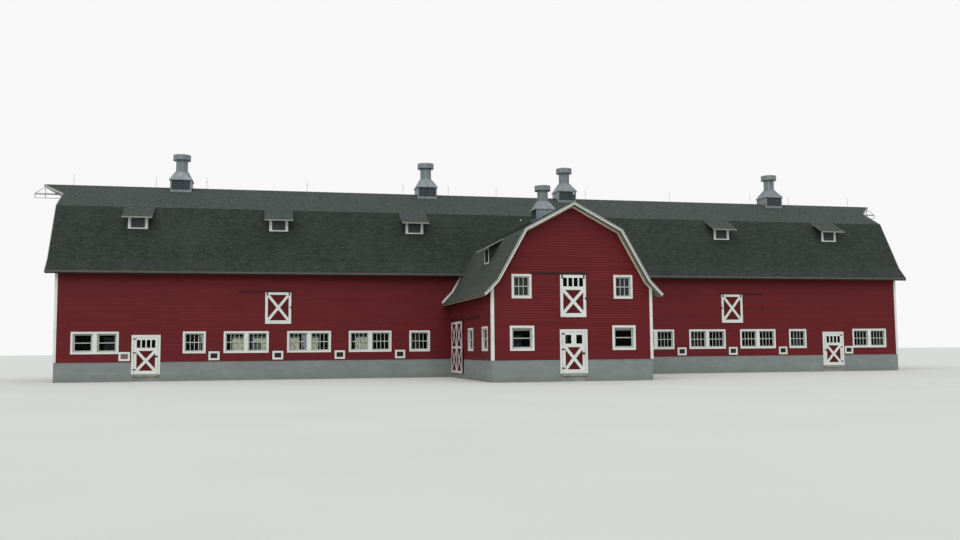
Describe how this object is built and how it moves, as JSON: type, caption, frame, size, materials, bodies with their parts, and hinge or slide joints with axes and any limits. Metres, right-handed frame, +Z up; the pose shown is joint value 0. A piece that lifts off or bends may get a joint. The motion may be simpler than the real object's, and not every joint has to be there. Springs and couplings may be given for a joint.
{
  "type": "dairy barn, 1:2 scale model",
  "caption": "Long gambrel-roofed barn with a front wing, hinged and sliding doors, dormers and ridge ventilators; a 1:2 scale model.",
  "frame": {"origin": "middle of the bounding box at the underside of the foundation", "axes": "+X along the main barn to the right as seen from the front, -Y out of the front where the wing stands, +Z up"},
  "size_m": [29.392, 11.339, 7.129],
  "materials": {
    "foundation_block": "painted, matte",
    "concrete": "worn",
    "loft_boards": "bare, rough",
    "red_siding": "matte paint",
    "shingles": "granular, matte",
    "white_trim": "satin paint",
    "galvanised_steel": "weathered, dull",
    "rod_metal": "dull",
    "black_iron": "painted black",
    "eave_paint": "matte paint",
    "window_glass": "clear",
    "door_paint": "satin paint",
    "lamp_metal": "satin"
  },
  "bodies": {
    "barn": {"foundation_front": "foundation_block", "foundation_back": "foundation_block", "foundation_ends": "foundation_block", "foundation_wing_front": "foundation_block", "foundation_wing_sides": "foundation_block", "door_sills": "concrete", "ground_floor": "concrete", "loft_floor": "loft_boards", "front_walls": "red_siding", "door_heads": "red_siding", "back_wall": "red_siding", "gable_walls": "red_siding", "wing_side_walls": "red_siding", "wing_front_wall": "red_siding", "wing_gable_wall": "red_siding", "roof_front_lower": "shingles", "roof_front_upper": "shingles", "roof_back_lower": "shingles", "roof_back_upper": "shingles", "wing_roof_lower": "shingles", "wing_roof_upper": "shingles", "dormer_walls": "white_trim", "dormer_roofs": "shingles", "ventilators": "galvanised_steel", "lightning_rods": "rod_metal", "hay_carrier_rails": "black_iron", "corner_boards": "white_trim", "rake_boards": "white_trim", "eave_boards": "eave_paint", "wing_flashing_boards": "white_trim", "window_frames_main": "white_trim", "window_frames_wing": "white_trim", "window_glass_main": "window_glass", "window_glass_wing": "window_glass", "wall_vents": "white_trim", "door_casings": "white_trim", "frame_hinges": "black_iron", "upper_doors": "door_paint", "upper_door_glass": "window_glass", "door_tracks": "black_iron", "wall_lamp": "lamp_metal"},
    "front_left_door": {"front_left_door": "door_paint", "front_left_door_glass": "window_glass", "front_left_door_hinges": "black_iron"},
    "front_right_door": {"front_right_door": "door_paint", "front_right_door_glass": "window_glass", "front_right_door_hinges": "black_iron"},
    "wing_door": {"wing_door": "door_paint", "wing_door_glass": "window_glass", "wing_door_hinges": "black_iron"},
    "wing_sliding_door": {"wing_sliding_door": "door_paint", "sliding_door_hangers": "black_iron"}
  },
  "joints": [
    {"name": "front_left_door_hinge", "type": "hinge", "parent": "barn", "child": "front_left_door", "pos_m": [-11.3555, 0.0665, 0.7], "axis": [0, 0, -1], "range_deg": [0, 110]},
    {"name": "front_right_door_hinge", "type": "hinge", "parent": "barn", "child": "front_right_door", "pos_m": [11.3555, 0.0665, 0.7], "axis": [0, 0, 1], "range_deg": [0, 110]},
    {"name": "wing_door_hinge", "type": "hinge", "parent": "barn", "child": "wing_door", "pos_m": [-0.3055, -5.4375, 0.7], "axis": [0, 0, -1], "range_deg": [0, 110]},
    {"name": "wing_sliding_door_track", "type": "slide", "parent": "barn", "child": "wing_sliding_door", "axis": [0, -1, 0], "range_m": [0, 1.62]}
  ]
}
